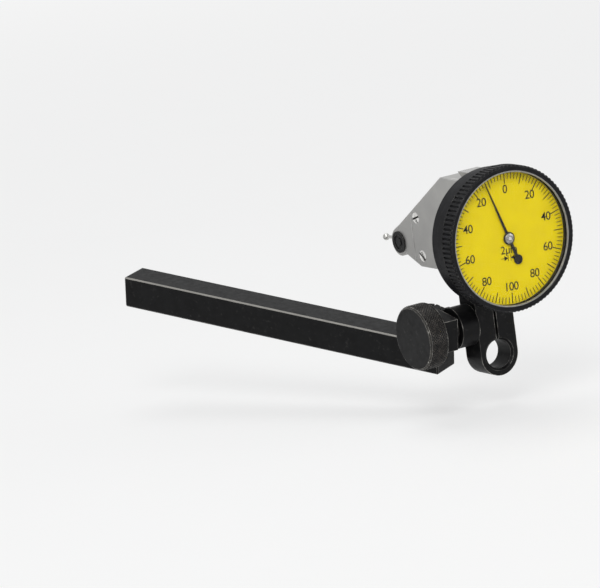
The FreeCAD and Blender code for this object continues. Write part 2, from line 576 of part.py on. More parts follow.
def makeGearTrain():
    module, pinionTeeth = val("module"), int(val("pinionTeeth"))
    pinionRadius = module * pinionTeeth / 2
    crownRadius = module * val("crownTeeth") / 2
    sectorRadius = pinionRadius * val("sectorRatio")
    crown = (val("crownY"), val("dialZ"))
    lever = (val("pivotY"), val("pivotZ"))
    reach = sectorRadius + pinionRadius
    sectorY = lever[0] - val("leverArm") - val("sectorArm")
    sectorZ = crown[1] - math.sqrt(reach * reach - (sectorY - crown[0]) ** 2)
    sector = (sectorY, sectorZ)
    toPinion = math.atan2(crown[1] - sectorZ, crown[0] - sectorY)
    pivot, arbor = val("arborPivot"), val("arborRadius")
    plateInner = val("plateHalf") - val("plateThick")

    # crown wheel: a disc with a ring of teeth that stand towards the centre pinion
    rim = solidRod(crownRadius + 0.25, 1.15 + 0.6, (-2.5, crown[0], crown[1]), "X")
    hollow = solidRod(crownRadius - 0.35, 1.15, (-1.9, crown[0], crown[1]), "X")
    teeth = int(val("crownTeeth"))
    star = []
    for tooth in range(teeth):
        middle = math.pi + tooth * 2 * math.pi / teeth
        half = 0.29 * 2 * math.pi / teeth
        for angle, radius in ((middle - half, crownRadius - 0.9), (middle - half, crownRadius + 0.6),
                              (middle + half, crownRadius + 0.6), (middle + half, crownRadius - 0.9)):
            star.append((crown[0] + radius * math.cos(angle), crown[1] + radius * math.sin(angle)))
    slots = plateShape(star, -1.25, 1.0, "X")
    wheel = rim.cut(hollow).cut(slots)
    for turn in range(4):
        angle = math.radians(45 + 90 * turn)
        spot = (-2.6, crown[0] + 3.9 * math.cos(angle), crown[1] + 3.9 * math.sin(angle))
        wheel = wheel.cut(solidRod(1.75, 1.0, spot, "X"))
    wheel = wheel.cut(solidRod(arbor, 1.0, (-2.6, crown[0], crown[1]), "X"))
    feature("CrownWheel", "crown_wheel", wheel)

    pinion = plateShape(gearSpots(pinionTeeth, pinionRadius, module, crown, toPinion + math.pi, 0, pinionTeeth),
                        1.0, 1.4, "X")
    staff = solidRod(arbor, 2 * plateInner - 0.2, (-plateInner + 0.1, crown[0], crown[1]), "X")
    pivots = solidRod(pivot, 2 * val("plateHalf"), (-val("plateHalf"), crown[0], crown[1]), "X")
    feature("CrownArbor", "crown_arbor", staff.fuse([pivots, pinion]))

    # sector gear: a toothed blade on one side of its arbor and a short arm on the other
    step = 2 * math.pi / (pinionTeeth * val("sectorRatio"))
    blade = [(sector[0] + 1.2 * math.cos(toPinion + 1.4), sector[1] + 1.2 * math.sin(toPinion + 1.4)),
             (sector[0] + 1.2 * math.cos(toPinion - 1.4), sector[1] + 1.2 * math.sin(toPinion - 1.4))]
    sectorTeeth = int(pinionTeeth * val("sectorRatio"))
    blade += gearSpots(sectorTeeth, sectorRadius, module, sector, toPinion + step / 2, -6, 6)
    thick = 0.7
    plate = plateShape(blade, 1.25, thick, "X")
    hub = solidRod(1.35, thick, (1.25, sector[0], sector[1]), "X")
    armFoot = lever[1] + 0.42 - 0.1
    arm = Part.makeBox(thick, val("sectorArm") + 0.6, 0.8, Vector(1.25, sector[0], armFoot))
    whole = plate.fuse([hub, arm]).cut(solidRod(arbor, thick, (1.25, sector[0], sector[1]), "X"))
    feature("SectorGear", "sector_gear", whole)
    staff = solidRod(arbor, 2 * plateInner - 0.2, (-plateInner + 0.1, sector[0], sector[1]), "X")
    pivots = solidRod(pivot, 2 * val("plateHalf"), (-val("plateHalf"), sector[0], sector[1]), "X")
    feature("SectorArbor", "sector_arbor", staff.fuse(pivots))

    # measuring lever: boss on the pivot, thin arm, and a rounded nose under the sector's arm
    tipY = lever[0] - val("leverArm")
    boss = solidRod(2.0, thick, (1.25, lever[0], lever[1]), "X")
    nose = solidRod(0.3, thick, (1.25, tipY, lever[1]), "X")
    web = plateShape([(lever[0], lever[1] + 0.9), (tipY, lever[1] + 0.15), (tipY, lever[1] - 0.3),
                      (lever[0], lever[1] - 0.9)], 1.25, thick, "X")
    bored = boss.fuse([nose, web]).cut(solidRod(0.6, thick, (1.25, lever[0], lever[1]), "X"))
    feature("MeasuringLever", "measuring_lever", bored)
    return crown, sector, plateInner


def makeLeverShaft():
    start = (-4.0, val("pivotY"), val("pivotZ"))
    keep(rod("LeverShaft", "leverShaft", "leverShaftLength", start, "X"), "lever_shaft")


def makeMovementPlates(crown, sector, plateInner):
    plateOutline = [(-3.6, 25.2), (18.2, 25.2), (18.2, 27.8), (20.0, 27.8), (20.0, 31.2), (18.2, 31.2),
                    (18.2, 38.6), (9.0, 44.4), (-3.6, 44.4)]
    pillarSpots = ((-2.2, 26.9), (-1.6, 42.2), (15.4, 36.9))
    jewels = []
    screws = []
    for side, label in ((-1, "left_plate"), (1, "right_plate")):
        start = plateInner if side == 1 else -val("plateHalf")
        body = newBody(label.title().replace("_", ""))
        sketch = newSketch(body, label + "Outline", "YZ_Plane", start)
        plainOutline(sketch, plateOutline)
        for spot in (crown, sector):
            circle(sketch, spot, "jewelRadius")
        for spot in pillarSpots:
            circle(sketch, spot, "smallScrew")
        pad(body, sketch, "plateThick")
        keep(body, label)
        for number, spot in enumerate((crown, sector)):
            name = "jewel%s%d" % (label.title().replace("_", ""), number)
            jewels.append(ring(name, "jewelRadius", "jewelBore", "plateThick", (start, *spot), "X"))
        for number, spot in enumerate(pillarSpots):
            name = "plateScrew%s%d" % (label.title().replace("_", ""), number)
            headStart = val("plateHalf") if side == 1 else -val("plateHalf") - val("plateHeadHeight")
            head = rod(name + "Head", "plateScrewHead", "plateHeadHeight", (headStart, *spot), "X")
            shankStart = start - 1.0 if side == 1 else start
            shank = rod(name + "Shank", "pillarBore", "plateThick + 1.0", (shankStart, *spot), "X")
            screws.append(fuse(name, [head, shank]))
    keep(group("PlateScrews", screws), "plate_screws")
    pillars = []
    for number, spot in enumerate(pillarSpots):
        name = "pillar%d" % number
        post = rod(name + "Post", "jewelRadius", "2 * plateHalf - 2 * plateThick", (-plateInner, *spot), "X")
        bore = rod(name + "Bore", "smallScrew", "2 * plateHalf - 2 * plateThick", (-plateInner, *spot), "X")
        pillars.append(cut(name, post, bore))
    keep(group("PlatePillars", pillars), "plate_pillars")

    axis = val("dialZ")
    bridge = block("bridgeBlank", ("plateHalf - plateThick + 0.65", "bridgeThick", "bridgeHeight"),
                   (-0.65, 1.6, axis - val("bridgeHeight") / 2))
    seat = rod("bridgeSeat", "jewelSmall", "seatLength", (0, 1.5, axis), "Y")
    keep(cut("CentreBridge", bridge, seat), "centre_bridge")
    jewels.append(ring("jewelRear", "jewelSmall", "jewelBore", "plateThick", (0, 1.8, axis), "Y"))
    jewels.append(ring("jewelFront", "frontBush", "arborClear", "frontBushLength", (0, -5.95, axis), "Y"))
    keep(group("JewelBearings", jewels), "jewel_bearings")


def makeCentreArbor():
    axis = val("dialZ")
    module, pinionTeeth = val("module"), int(val("pinionTeeth"))
    radius = module * pinionTeeth / 2
    spots = gearSpots(pinionTeeth, radius, module, (0, axis), math.pi, 0, pinionTeeth)
    pinion = plateShape(spots, -0.8, 1.8, "Y")
    front = val("handY") - val("handThick") - 0.36
    staff = solidRod(val("arborRadius"), -0.8 - front + 2.2, (0, front, axis), "Y")
    pivot = solidRod(val("arborPivot"), 1.0, (0, 1.4, axis), "Y")
    feature("CentreArbor", "centre_arbor", staff.fuse([pinion, pivot]))
    keep(ring("HairspringCollet", "colletRadius", "arborRadius", "colletLength",
              (0, -3.9, axis), "Y"), "hairspring_collet")
    inner, outer, turns, wide = 1.02, 2.5, 4.25, 0.08
    count = int(turns * 16)
    centreLine = []
    for index in range(count + 1):
        share = index / count
        angle = share * turns * 2 * math.pi
        centreLine.append((angle, inner + (outer - inner) * share))
    outerSide = [((r + wide / 2) * math.cos(a), axis + (r + wide / 2) * math.sin(a)) for a, r in centreLine]
    innerSide = [((r - wide / 2) * math.cos(a), axis + (r - wide / 2) * math.sin(a)) for a, r in centreLine]
    strip = plateShape(outerSide + innerSide[::-1], -3.65, 0.3, "Y")
    feature("Hairspring", "hairspring", strip)
    stud = rod("HairspringStud", "studRadius", "studLength", (0, -4.4, axis + outer + 0.36), "Y")
    keep(stud, "hairspring_stud")


def makeHand():
    axis, thick, start = val("dialZ"), val("handThick"), val("handY") - val("handThick")
    length, hub = val("handLength"), val("handHub")
    lean = math.radians(val("handAngle"))
    outlineSpots = [(-0.42, 0), (-0.11, length), (0.11, length), (0.42, 0)]
    tail = [(0.45, 0), (0.45, -6.0), (-0.45, -6.0), (-0.45, 0)]

    def leaned(spots):
        return [(across * math.cos(lean) - upward * math.sin(lean),
                 axis + across * math.sin(lean) + upward * math.cos(lean)) for across, upward in spots]

    blade = plateShape(leaned(outlineSpots), start, thick, "Y")
    shaft = plateShape(leaned(tail), start, thick, "Y")
    weightSpot = leaned([(0, -6.6)])[0]
    weight = solidRod(1.35, thick, (weightSpot[0], start, weightSpot[1]), "Y")
    boss = solidRod(hub, thick, (0, start, axis), "Y")
    whole = blade.fuse([shaft, weight, boss]).cut(solidRod(val("arborRadius"), thick, (0, start, axis), "Y"))
    feature("Hand", "hand", whole)
    capStart = start - val("bossHeight")
    keep(ring("HandBoss", "handHub * 0.75", "arborRadius", "bossHeight", (0, capStart, axis), "Y"),
         "hand_boss")


def makeStylus():
    tilt = Rotation(Vector(1, 0, 0), val("stylusTilt"))
    frame = Placement(Vector(0, val("pivotY"), val("pivotZ")), tilt)
    hub = rod("stylusHubDisc", "hubRadius", "2 * hubHalf", (-val("hubHalf"), 0, 0), "X", frame)
    socket = rod("stylusSocket", "socketRadius", "socketLength", (0, 0, 0), "Y", frame)
    whole = fuse("stylusHubWhole", [hub, socket])
    bore = rod("stylusHubBore", "hubBore", "2 * hubHalf + 0.2", (-val("hubHalf") - 0.1, 0, 0), "X", frame)
    thread = rod("stylusThread", "shankRoot", "threadLength", (0, val("socketLength") - val("threadLength"), 0), "Y", frame)
    keep(cut("StylusHub", whole, fuse("stylusHubCuts", [bore, thread])), "stylus_hub")
    cone = doc.addObject("Part::Cone", "StylusShankCone")
    cone.setExpression("Radius1", "Sizes.shankRoot")
    cone.setExpression("Radius2", "Sizes.shankTip")
    cone.setExpression("Height", "Sizes.stylusLength - Sizes.socketLength + Sizes.threadLength - 0.6")
    cone.Placement = frame.multiply(Placement(Vector(0, val("socketLength") - val("threadLength"), 0), turnTo["Y"]))
    ball = doc.addObject("Part::Sphere", "ContactBallShape")
    ball.setExpression("Radius", "Sizes.ballRadius")
    ball.Placement = frame.multiply(Placement(Vector(0, val("stylusLength"), 0), Rotation()))
    keep(cut("StylusShank", cone, ball), "stylus_shank")
    solidBall = doc.addObject("Part::Sphere", "ContactBall")
    solidBall.setExpression("Radius", "Sizes.ballRadius")
    solidBall.Placement = ball.Placement
    keep(solidBall, "contact_ball")
    washer = ring("ClutchWasher", "hubRadius * 0.8", "hubBore", "clutchThick", (-val("hubHalf") - 0.5, 0, 0), "X", frame)
    keep(washer, "clutch_washer")


makeBar()
makeYawPivot()
makeLink()
makeKnob()
makeClampBlock()
makeRails()
makeFrame()
makeCovers()
makePivotScrews()
makeDialEnd()
crownSpot, sectorSpot, plateInside = makeGearTrain()
makeLeverShaft()
makeMovementPlates(crownSpot, sectorSpot, plateInside)
makeCentreArbor()
makeHand()
makeStylus()
doc.recompute()

for thing in doc.Objects:
    if "Invalid" in thing.State or "Error" in thing.State:
        raise RuntimeError("%s did not compute: %s" % (thing.Name, thing.State))
for thing in subParts:
    if thing.Shape.isNull() or not thing.Shape.isValid() or not thing.Shape.Solids:
        raise RuntimeError("%s has no valid solid" % thing.Label)

os.makedirs("parts", exist_ok=True)
for thing in subParts:
    thing.Shape.exportStep("parts/%s.step" % thing.Label)
print("sub-parts:", len(subParts), "sector at", [round(number, 3) for number in sectorSpot])
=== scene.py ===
import math
import bpy
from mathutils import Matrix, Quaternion, Vector


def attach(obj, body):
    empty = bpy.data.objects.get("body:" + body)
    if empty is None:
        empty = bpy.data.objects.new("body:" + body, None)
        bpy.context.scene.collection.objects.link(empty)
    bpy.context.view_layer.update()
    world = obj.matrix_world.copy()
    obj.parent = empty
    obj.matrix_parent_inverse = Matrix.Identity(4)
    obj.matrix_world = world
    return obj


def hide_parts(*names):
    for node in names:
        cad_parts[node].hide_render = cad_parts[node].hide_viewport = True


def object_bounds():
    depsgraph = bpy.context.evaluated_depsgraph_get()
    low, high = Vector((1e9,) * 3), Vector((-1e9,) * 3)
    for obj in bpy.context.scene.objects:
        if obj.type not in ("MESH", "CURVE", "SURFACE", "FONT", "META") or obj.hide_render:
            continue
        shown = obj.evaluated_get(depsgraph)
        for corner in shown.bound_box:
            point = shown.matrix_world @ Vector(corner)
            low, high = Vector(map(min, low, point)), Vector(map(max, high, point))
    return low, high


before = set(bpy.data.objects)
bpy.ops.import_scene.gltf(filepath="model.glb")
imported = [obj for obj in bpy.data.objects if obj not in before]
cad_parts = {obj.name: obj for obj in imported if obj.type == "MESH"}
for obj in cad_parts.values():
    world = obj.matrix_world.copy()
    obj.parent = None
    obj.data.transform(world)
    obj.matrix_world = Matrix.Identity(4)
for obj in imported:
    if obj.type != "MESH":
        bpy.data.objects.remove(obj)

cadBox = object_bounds()  # the CAD model's box, before anything is added
mm = 0.001
white = (1, 1, 1, 1)
endFacing = 0.9  # a face whose normal is this much along the axis is an end face


def linearColour(hexColour):  # sRGB hex to the linear values that a shader wants
    channels = []
    for start in (1, 3, 5):
        level = int(hexColour[start:start + 2], 16) / 255
        channels.append(level / 12.92 if level <= 0.04045 else ((level + 0.055) / 1.055) ** 2.4)
    return (*channels, 1.0)


def addNode(tree, kind, inputs=None, **settings):  # one node with its settings, values and links
    node = tree.nodes.new(kind)
    for name, value in settings.items():
        setattr(node, name, value)
    for name, value in (inputs or {}).items():
        if isinstance(value, bpy.types.NodeSocket):
            tree.links.new(value, node.inputs[name])
        else:
            node.inputs[name].default_value = value
    return node


def emptyMaterial(name):
    material = bpy.data.materials.new(name)
    material.use_nodes = True
    tree = material.node_tree
    tree.nodes.clear()
    return material, tree


def finishMaterial(tree, shader):
    addNode(tree, "ShaderNodeOutputMaterial", {"Surface": shader.outputs[0]})


def grain(tree, size, stretch=(1, 1, 1), detail=3.0, cut=(0.0, 1.0), spread=(0.0, 1.0)):
    # noise whose grains are size mm across; what lies between the two cuts is spread out
    place = addNode(tree, "ShaderNodeTexCoord").outputs["Object"]
    turned = addNode(tree, "ShaderNodeMapping", {"Vector": place, "Scale": stretch}).outputs["Vector"]
    noise = addNode(tree, "ShaderNodeTexNoise", {"Vector": turned, "Scale": 1 / (size * mm),
                                                 "Detail": detail})
    fitted = addNode(tree, "ShaderNodeMapRange", {0: noise.outputs["Fac"], 1: cut[0], 2: cut[1],
                                                  3: spread[0], 4: spread[1]})
    return fitted.outputs[0]


wearAndHighlightSizes = {
    "samples": 8, "flat": 0.985,  # above this likeness of the two normals nothing is rubbed
    "patchCut": (0.42, 0.62), "patchSpread": (0.15, 1.0),
    "chamferStart": 0.3, "chamferFull": 0.45,  # side and top share of a chamfer's normal, multiplied; they pick the bar's chamfers for its painted highlight
}


def wornEdge(tree, radius, patchSize, reach):  # 1 where an edge is rubbed bare, 0 on the flats
    size = wearAndHighlightSizes
    rounded = addNode(tree, "ShaderNodeBevel", {"Radius": radius * mm}, samples=size["samples"])
    flat = addNode(tree, "ShaderNodeNewGeometry").outputs["Normal"]
    likeness = addNode(tree, "ShaderNodeVectorMath", {0: rounded.outputs["Normal"], 1: flat},
                       operation="DOT_PRODUCT")
    edge = addNode(tree, "ShaderNodeMapRange", {0: likeness.outputs["Value"], 1: size["flat"], 2: reach,
                                                3: 0.0, 4: 1.0})
    patches = grain(tree, patchSize, cut=size["patchCut"], spread=size["patchSpread"])
    worn = addNode(tree, "ShaderNodeMath", {0: edge.outputs[0], 1: patches}, operation="MULTIPLY")
    return worn.outputs[0]


def rubbedChamfer(tree, worn, look):  # the bar's two upper chamfers are painted bare and bright all along: wear, and a painted highlight on these up-facing edges
    size = wearAndHighlightSizes
    normal = addNode(tree, "ShaderNodeNewGeometry").outputs["True Normal"]
    side = addNode(tree, "ShaderNodeVectorMath", {0: normal, 1: look["across"]}, operation="DOT_PRODUCT")
    top = addNode(tree, "ShaderNodeVectorMath", {0: normal, 1: look["upward"]}, operation="DOT_PRODUCT")
    slope = addNode(tree, "ShaderNodeMath", {0: side.outputs["Value"]}, operation="ABSOLUTE")
    both = addNode(tree, "ShaderNodeMath", {0: slope.outputs[0], 1: top.outputs["Value"]},
                   operation="MULTIPLY")
    chamfer = addNode(tree, "ShaderNodeMapRange", {0: both.outputs[0], 1: size["chamferStart"],
                                                   2: size["chamferFull"], 3: 0.0, 4: look["bareAndHighlitShare"]})
    most = addNode(tree, "ShaderNodeMath", {0: worn, 1: chamfer.outputs[0]}, operation="MAXIMUM")
    return most.outputs[0]


# in mm: edge is how wide an edge is rubbed, patch the size of its bare patches, mill that of the tool marks
oxideLook = {"coat": "#080809", "haze": "#121213", "bare": "#bebbb5", "edge": 0.31, "patch": 2.4,
             "mill": 0.25, "scratch": 0.05, "shine": 0.15}
anodisedLook = {"coat": "#111113", "haze": "#19191c", "bare": "#8a8986", "edge": 0.12, "patch": 2.5,
                "mill": 0.18, "scratch": 0.04, "shine": 0.14}
knurlLook = {"coat": "#0d0c0c", "haze": "#161515", "bare": "#857e76", "edge": 0.085, "patch": 1.0,
             "mill": 0.3, "scratch": 0.15, "shine": 0.22}
# the knob's chamfers: rubbed by fingers, and painted lighter all round as a painted highlight
rimLook = {"coat": "#0f0e0e", "haze": "#45423d", "bare": "#e2ded6", "edge": 0.3, "patch": 0.42,
           "mill": 0.3, "scratch": 0.9, "shine": 0.3}
screwBlackLook = {"coat": "#0d0d0e", "haze": "#171719", "bare": "#8d8b87", "edge": 0.12, "patch": 0.9,
                  "mill": 0.3, "scratch": 0.04, "shine": 0.22}
# the holding bar has the same skin; the directions point sideways and upward from its tilted length, and
# pick the upper chamfers that carry wear and a painted highlight
barLook = {**oxideLook, "bareAndHighlitShare": 0.65, "across": (0.9078, 0.4111, 0.0836), "upward": (0.0, -0.1994, 0.9799)}
# what all blackened parts share
skinLook = {"cloud": 3.0, "cloudCut": (0.35, 0.7), "rub": 1.1, "rubDetail": 4.0, "rubCut": (0.6, 0.8),
            "reach": 0.88, "millDetail": 2.0, "bump": 0.12, "depth": 0.03,
            "sheen": 1.6, "sheenCut": (0.3, 0.7), "roughness": (0.34, 0.48)}


def makeBlackened(name, look):
    # Blackened metal: a thin dark skin, slightly glossy, rubbed to bare metal along its edges
    skin = skinLook
    material, tree = emptyMaterial(name)
    dark, hazy, bare = [linearColour(look[key]) for key in ("coat", "haze", "bare")]
    cloud = grain(tree, skin["cloud"], cut=skin["cloudCut"])
    base = addNode(tree, "ShaderNodeMix", {0: cloud, 6: dark, 7: hazy}, data_type="RGBA")
    rubs = grain(tree, skin["rub"], detail=skin["rubDetail"], cut=skin["rubCut"],
                 spread=(0.0, look["scratch"]))
    coat = addNode(tree, "ShaderNodeMix", {0: rubs, 6: base.outputs[2], 7: bare}, data_type="RGBA")
    worn = wornEdge(tree, look["edge"], look["patch"], skin["reach"])
    # the bar's upper chamfers: rubbed wear and a painted highlight
    if "bareAndHighlitShare" in look:
        worn = rubbedChamfer(tree, worn, look)
    colour = addNode(tree, "ShaderNodeMix", {0: worn, 6: coat.outputs[2], 7: bare}, data_type="RGBA")
    fine = grain(tree, look["mill"], detail=skin["millDetail"])
    bump = addNode(tree, "ShaderNodeBump", {"Height": fine, "Strength": skin["bump"],
                                            "Distance": skin["depth"] * mm})
    rough = grain(tree, skin["sheen"], cut=skin["sheenCut"], spread=skin["roughness"])
    shader = addNode(tree, "ShaderNodeBsdfPrincipled", {
        "Base Color": colour.outputs[2], "Roughness": rough, "Metallic": worn,
        "Specular IOR Level": look["shine"], "Normal": bump.outputs["Normal"]})
    finishMaterial(tree, shader)
    return material


satinChromeLook = {
    "plate": "#bab9b6", "shade": "#b1b0ae", "bright": "#fafaf8", "cloud": 6.0, "cloudCut": (0.3, 0.7),
    "edge": 0.42, "patch": 4.0, "reach": 0.9, "bead": 0.16, "bump": 0.22, "depth": 0.02,
    "metal": 0.85, "roughness": 0.46,
}


def makeSatinChrome():
    # Satin chrome plate over a bead-blasted body: soft grey metal with a very fine grain and bright edges
    look = satinChromeLook
    material, tree = emptyMaterial("satinChromePlate")
    plain, shade, bright = [linearColour(look[key]) for key in ("plate", "shade", "bright")]
    cloud = grain(tree, look["cloud"], cut=look["cloudCut"])
    plate = addNode(tree, "ShaderNodeMix", {0: cloud, 6: plain, 7: shade}, data_type="RGBA")
    worn = wornEdge(tree, look["edge"], look["patch"], look["reach"])
    colour = addNode(tree, "ShaderNodeMix", {0: worn, 6: plate.outputs[2], 7: bright}, data_type="RGBA")
    beads = grain(tree, look["bead"], detail=1.0)
    bump = addNode(tree, "ShaderNodeBump", {"Height": beads, "Strength": look["bump"],
                                            "Distance": look["depth"] * mm})
    shader = addNode(tree, "ShaderNodeBsdfPrincipled", {
        "Base Color": colour.outputs[2], "Metallic": look["metal"], "Roughness": look["roughness"],
        "Normal": bump.outputs["Normal"]})
    finishMaterial(tree, shader)
    return material


groundLook = {
    "steel": "#cfcecb", "shade": "#bfbebb", "line": 0.12, "detail": 2.0, "lineCut": (0.35, 0.65),
    "bump": 0.04, "depth": 0.02, "sheenCut": (0.3, 0.7), "smoother": 0.9, "rougher": 1.15,
}


def makeGroundSteel(name, roughness, stretch, steel=groundLook["steel"]):
    # Ground or turned steel: bright, with fine tool lines along one direction
    look = groundLook
    material, tree = emptyMaterial(name)
    bright, shade = linearColour(steel), linearColour(look["shade"])
    lines = grain(tree, look["line"], stretch, look["detail"], cut=look["lineCut"])
    colour = addNode(tree, "ShaderNodeMix", {0: lines, 6: bright, 7: shade}, data_type="RGBA")
    bump = addNode(tree, "ShaderNodeBump", {"Height": lines, "Strength": look["bump"],
                                            "Distance": look["depth"] * mm})
    rough = grain(tree, look["line"], stretch, look["detail"], cut=look["sheenCut"],
                  spread=(roughness * look["smoother"], roughness * look["rougher"]))
    shader = addNode(tree, "ShaderNodeBsdfPrincipled", {
        "Base Color": colour.outputs[2], "Metallic": 1.0, "Roughness": rough,
        "Normal": bump.outputs["Normal"]})
    finishMaterial(tree, shader)
    return material


# slotShade is the colour of the painted shade in the screw slots
screwLook = {
    "steel": "#fbfaf7", "turned": "#e4e2de", "slotShade": "#24221f", "swirl": 0.5, "swirlCut": (0.3, 0.7),
    "headFace": 4.95, "slotFloor": 4.8,  # mm from the middle of the gauge
    "polished": 0.2, "dull": 0.7,
}


def makeScrewSteel():
    # Polished screw heads: bright faces, with painted shade darkening the floors of their slots
    look = screwLook
    material, tree = emptyMaterial("polishedScrewSteel")
    steel, lathe, slotShade = [linearColour(look[key]) for key in ("steel", "turned", "slotShade")]
    place = addNode(tree, "ShaderNodeTexCoord").outputs["Object"]
    across = addNode(tree, "ShaderNodeSeparateXYZ", {0: place}).outputs["X"]
    outward = addNode(tree, "ShaderNodeMath", {0: across}, operation="ABSOLUTE").outputs[0]
    depth = addNode(tree, "ShaderNodeMapRange", {0: outward, 1: look["headFace"] * mm,
                                                 2: look["slotFloor"] * mm, 3: 0.0, 4: 1.0})
    inSlot = depth.outputs[0]
    swirl = grain(tree, look["swirl"], cut=look["swirlCut"])
    face = addNode(tree, "ShaderNodeMix", {0: swirl, 6: steel, 7: lathe}, data_type="RGBA")
    # painted shade: the slot floors are darkened, as the slot walls would shade them
    colour = addNode(tree, "ShaderNodeMix", {0: inSlot, 6: face.outputs[2], 7: slotShade}, data_type="RGBA")
    rough = addNode(tree, "ShaderNodeMapRange", {0: inSlot, 1: 0.0, 2: 1.0, 3: look["polished"],
                                                 4: look["dull"]})
    shader = addNode(tree, "ShaderNodeBsdfPrincipled", {
        "Base Color": colour.outputs[2], "Metallic": 1.0, "Roughness": rough.outputs[0]})
    finishMaterial(tree, shader)
    return material


brassLook = {"brass": "#d7b56d", "tarnish": "#b98f45", "line": 0.15, "stretch": (1, 0.1, 1),
             "detail": 2.0, "cut": (0.3, 0.7), "roughness": 0.32}


def makeBrass():
    # Rolled and stamped brass, as in a watch movement
    look = brassLook
    material, tree = emptyMaterial("stampedBrass")
    fresh, tarnish = linearColour(look["brass"]), linearColour(look["tarnish"])
    lines = grain(tree, look["line"], look["stretch"], look["detail"], cut=look["cut"])
    colour = addNode(tree, "ShaderNodeMix", {0: lines, 6: fresh, 7: tarnish}, data_type="RGBA")
    shader = addNode(tree, "ShaderNodeBsdfPrincipled", {
        "Base Color": colour.outputs[2], "Metallic": 1.0, "Roughness": look["roughness"]})
    finishMaterial(tree, shader)
    return material


rubyLook = {"clear": "#a3142f", "deep": "#7c0f26", "cloud": 0.6, "cut": (0.3, 0.7), "roughness": 0.08,
            "ior": 1.76}


def makeRuby():
    # Synthetic ruby bearing stones: clear red with a polished face
    look = rubyLook
    material, tree = emptyMaterial("syntheticRuby")
    clear, deep = linearColour(look["clear"]), linearColour(look["deep"])
    cloud = grain(tree, look["cloud"], cut=look["cut"])
    colour = addNode(tree, "ShaderNodeMix", {0: cloud, 6: clear, 7: deep}, data_type="RGBA")
    shader = addNode(tree, "ShaderNodeBsdfPrincipled", {
        "Base Color": colour.outputs[2], "Roughness": look["roughness"], "IOR": look["ior"]})
    finishMaterial(tree, shader)
    return material


dialLook = {"paint": "#d0bb00", "shade": "#c7b100", "cloud": 5.0, "cut": (0.3, 0.7), "grit": 0.5,
            "bump": 0.05, "depth": 0.01, "roughness": 0.55, "shine": 0.12}


def makeDialPaint():
    # Screen-printed dial: flat yellow ink on a brass blank, almost matt
    look = dialLook
    material, tree = emptyMaterial("yellowDialInk")
    paint, shade = linearColour(look["paint"]), linearColour(look["shade"])
    cloud = grain(tree, look["cloud"], cut=look["cut"])
    colour = addNode(tree, "ShaderNodeMix", {0: cloud, 6: paint, 7: shade}, data_type="RGBA")
    bump = addNode(tree, "ShaderNodeBump", {"Height": grain(tree, look["grit"]), "Strength": look["bump"],
                                            "Distance": look["depth"] * mm})
    shader = addNode(tree, "ShaderNodeBsdfPrincipled", {
        "Base Color": colour.outputs[2], "Roughness": look["roughness"],
        "Specular IOR Level": look["shine"], "Normal": bump.outputs["Normal"]})
    finishMaterial(tree, shader)
    return material


inkLook = {"ink": "#060505", "thin": "#0d0b0a", "patch": 0.4, "cut": (0.3, 0.7), "shine": 0.25}


def makeBlackInk(name, roughness):
    # Black printing ink, and the black paint on the hand
    look = inkLook
    material, tree = emptyMaterial(name)
    ink, thin = linearColour(look["ink"]), linearColour(look["thin"])
    patches = grain(tree, look["patch"], cut=look["cut"])
    colour = addNode(tree, "ShaderNodeMix", {0: patches, 6: ink, 7: thin}, data_type="RGBA")
    shader = addNode(tree, "ShaderNodeBsdfPrincipled", {
        "Base Color": colour.outputs[2], "Roughness": roughness, "Specular IOR Level": look["shine"]})
    finishMaterial(tree, shader)
    return material


crystalLook = {"warp": 14.0, "bump": 0.03, "depth": 0.1, "roughness": 0.02, "ior": 1.17}


def makeCrystal():
    # Coated acrylic crystal: clear and thin, its coating keeps reflections weak, as a lower IOR does
    look = crystalLook
    material, tree = emptyMaterial("clearAcrylic")
    warp = addNode(tree, "ShaderNodeBump", {"Height": grain(tree, look["warp"], detail=0.0),
                                            "Strength": look["bump"], "Distance": look["depth"] * mm})
    shader = addNode(tree, "ShaderNodeBsdfPrincipled", {
        "Base Color": white, "Roughness": look["roughness"], "IOR": look["ior"],
        "Transmission Weight": 1.0, "Normal": warp.outputs["Normal"]})
    clear = addNode(tree, "ShaderNodeBsdfTransparent")
    path = addNode(tree, "ShaderNodeLightPath")
    mixed = addNode(tree, "ShaderNodeMixShader", {0: path.outputs["Is Shadow Ray"], 1: shader.outputs[0],
                                                  2: clear.outputs[0]})
    finishMaterial(tree, mixed)
    return material


rubberLook = {"rubber": "#161616", "bloom": "#202020", "skin": 0.3, "cloud": 1.0, "bump": 0.1,
              "depth": 0.02, "roughness": 0.6}


def makeRubber():
    # Black nitrile gasket, matt with a moulded skin
    look = rubberLook
    material, tree = emptyMaterial("blackNitrile")
    rubber, bloom = linearColour(look["rubber"]), linearColour(look["bloom"])
    bump = addNode(tree, "ShaderNodeBump", {"Height": grain(tree, look["skin"]), "Strength": look["bump"],
                                            "Distance": look["depth"] * mm})
    cloud = grain(tree, look["cloud"])
    colour = addNode(tree, "ShaderNodeMix", {0: cloud, 6: rubber, 7: bloom}, data_type="RGBA")
    shader = addNode(tree, "ShaderNodeBsdfPrincipled", {
        "Base Color": colour.outputs[2], "Roughness": look["roughness"],
        "Normal": bump.outputs["Normal"]})
    finishMaterial(tree, shader)
    return material


blackOxide = makeBlackened("blackOxideSteel", oxideLook)
barOxide = makeBlackened("blackOxideBar", barLook)
blackAnodised = makeBlackened("blackAnodisedAluminium", anodisedLook)
blackKnurl = makeBlackened("blackOxideKnurl", knurlLook)
rubbedAndHighlitRim = makeBlackened("rubbedAndHighlitOxideRim", rimLook)
blackScrew = makeBlackened("blackenedScrewSteel", screwBlackLook)
satinChrome = makeSatinChrome()
